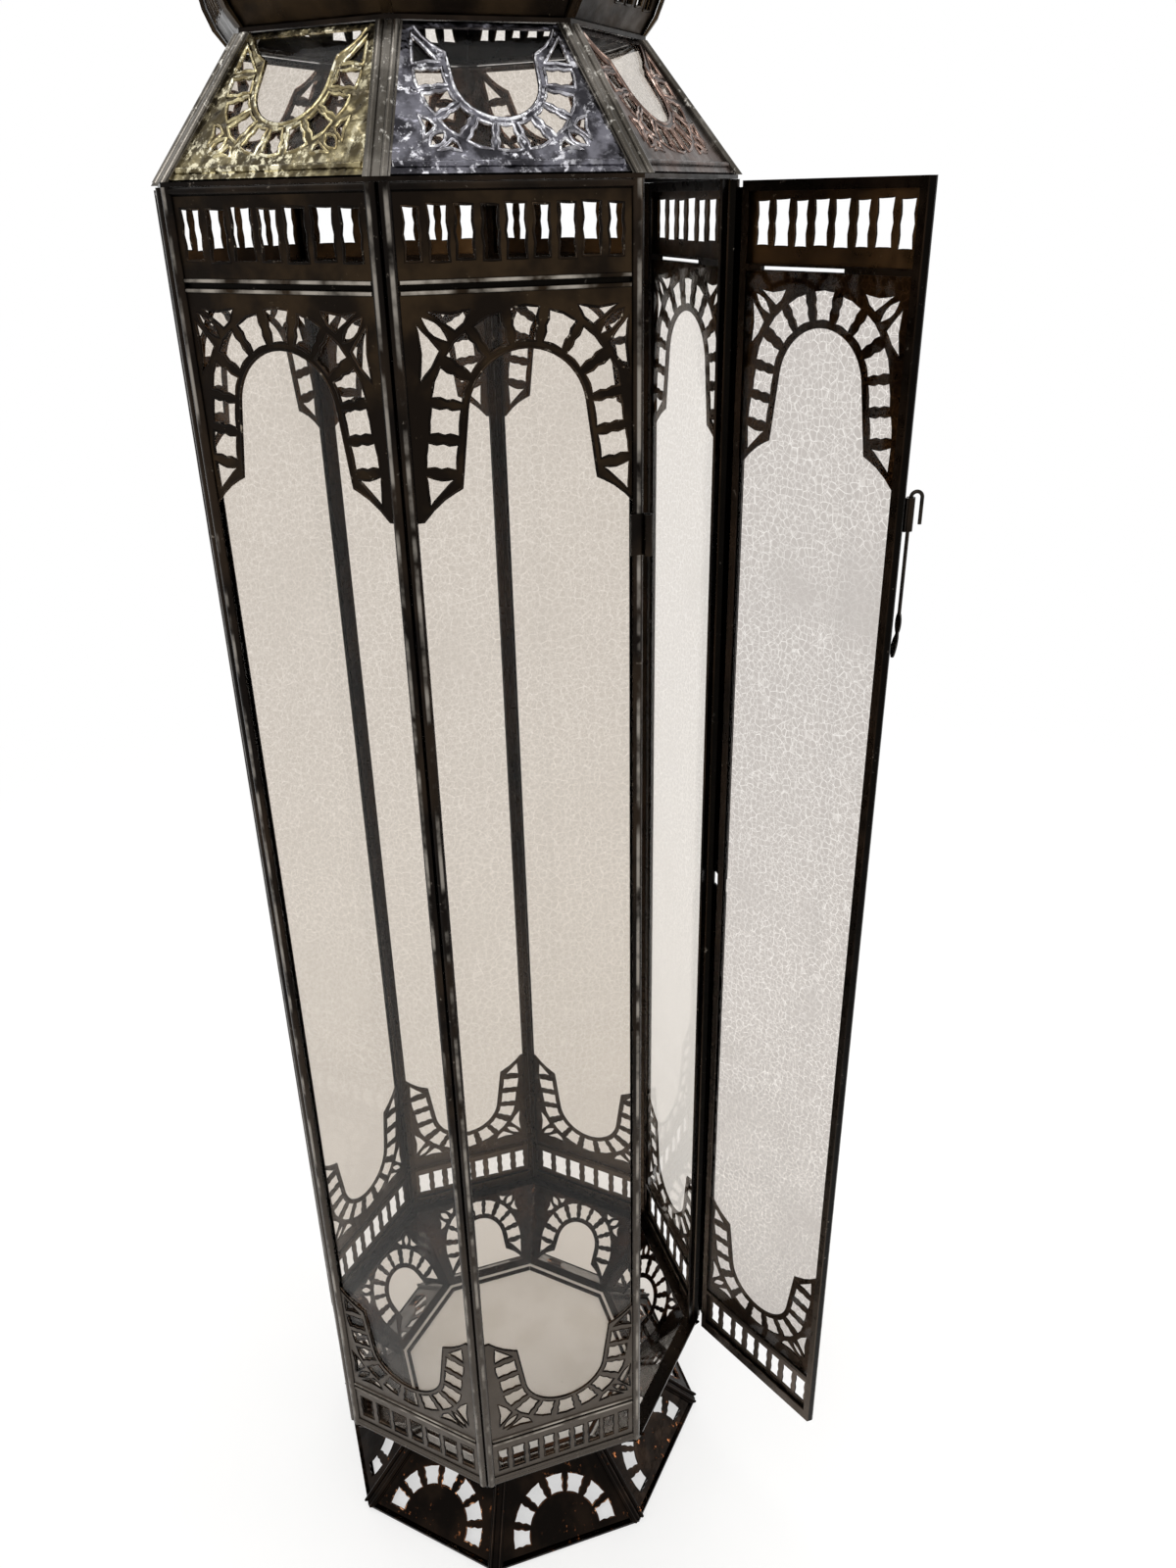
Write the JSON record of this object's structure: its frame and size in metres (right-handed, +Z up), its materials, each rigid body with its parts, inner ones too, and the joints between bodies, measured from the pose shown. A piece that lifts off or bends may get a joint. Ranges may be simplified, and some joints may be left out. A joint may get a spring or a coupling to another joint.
{
  "type": "lantern floor lamp",
  "caption": "Tall octagonal standing candle lantern of pierced sheet metal and glass, with a flared foot, onion dome, carrying ring, hinged door and drop bolt.",
  "frame": {"origin": "centre of the foot's rim on the ground", "axes": "+Z up the lantern's axis; the doorway faces -Y; the door's hinge is at the doorway's +X corner"},
  "size_m": [0.298, 0.4169, 1.2168],
  "materials": {
    "frame_metal": "antiqued near-black brown over rolled sheet steel, rubbed to pewter on the rolls",
    "pierced_sheet": "antiqued near-black brown over hand-pierced sheet steel, bare on the cut edges",
    "taper_sheet": "antiqued brown over hand-pierced sheet steel, bare on the cut edges",
    "shoulder_sheet": "worn bright pewter over hand-pierced sheet steel",
    "foot_sheet": "antiqued dark brown over hand-pierced sheet steel with copper-coloured edges",
    "floor_sheet": "pale zinc-coloured sheet with dark specks",
    "dome_sheet": "antiqued near-black brown over formed sheet steel",
    "top_metal": "antiqued brown metal, rubbed on the rolls",
    "hinge_metal": "antiqued brown over rolled steel",
    "wire": "darkened steel wire",
    "clear_glass": "clear window glass"
  },
  "bodies": {
    "lantern": {"foot_rim": "foot_sheet", "foot_panels": "foot_sheet", "foot_ribs": "foot_sheet", "floor_plate": "floor_sheet", "floor_rail": "frame_metal", "taper_frets": "taper_sheet", "taper_glass": "clear_glass", "taper_ribs": "frame_metal", "body_bottom_ring": "frame_metal", "doorway_jambs": "frame_metal", "frame_left": "frame_metal", "frame_front_left": "frame_metal", "frame_front_right": "frame_metal", "frame_right": "frame_metal", "frame_back_right": "frame_metal", "frame_back": "frame_metal", "frame_back_left": "frame_metal", "fret_left": "pierced_sheet", "fret_front_left": "pierced_sheet", "fret_front_right": "pierced_sheet", "fret_right": "pierced_sheet", "fret_back_right": "pierced_sheet", "fret_back": "pierced_sheet", "fret_back_left": "pierced_sheet", "glass_left": "clear_glass", "glass_front_left": "clear_glass", "glass_front_right": "clear_glass", "glass_right": "clear_glass", "glass_back_right": "clear_glass", "glass_back": "clear_glass", "glass_back_left": "clear_glass", "body_top_ring": "frame_metal", "shoulder_left": "shoulder_sheet", "shoulder_front_left": "shoulder_sheet", "shoulder_front": "shoulder_sheet", "shoulder_front_right": "shoulder_sheet", "shoulder_right": "shoulder_sheet", "shoulder_back_right": "shoulder_sheet", "shoulder_back": "shoulder_sheet", "shoulder_back_left": "shoulder_sheet", "shoulder_glass": "clear_glass", "shoulder_ribs": "shoulder_sheet", "shoulder_top_ring": "frame_metal", "dome_gores": "dome_sheet", "dome_ribs": "top_metal", "dome_cap": "top_metal", "finial": "top_metal", "ring_eye": "top_metal", "post_knuckles": "hinge_metal", "hinge_pins": "hinge_metal", "keeper_sleeve": "hinge_metal"},
    "door": {"door_frame": "frame_metal", "door_fret": "pierced_sheet", "door_glass": "clear_glass", "door_knuckles": "hinge_metal", "latch_sleeve": "hinge_metal"},
    "bolt": {"drop_bolt": "wire"},
    "ring": {"carry_ring": "wire"}
  },
  "joints": [
    {"name": "door_hinge", "type": "hinge", "parent": "lantern", "child": "door", "pos_m": [0.06238, -0.15059, 0.5374], "axis": [0, 0, 1], "range_deg": [-66.7, 113.3]},
    {"name": "bolt_lift", "type": "slide", "parent": "door", "child": "bolt", "axis": [0, 0, 1], "range_m": [0, 0.018]},
    {"name": "ring_swing", "type": "hinge", "parent": "lantern", "child": "ring", "pos_m": [0, 0, 1.20927], "axis": [0, -1, 0], "range_deg": [0, 292.6]}
  ]
}
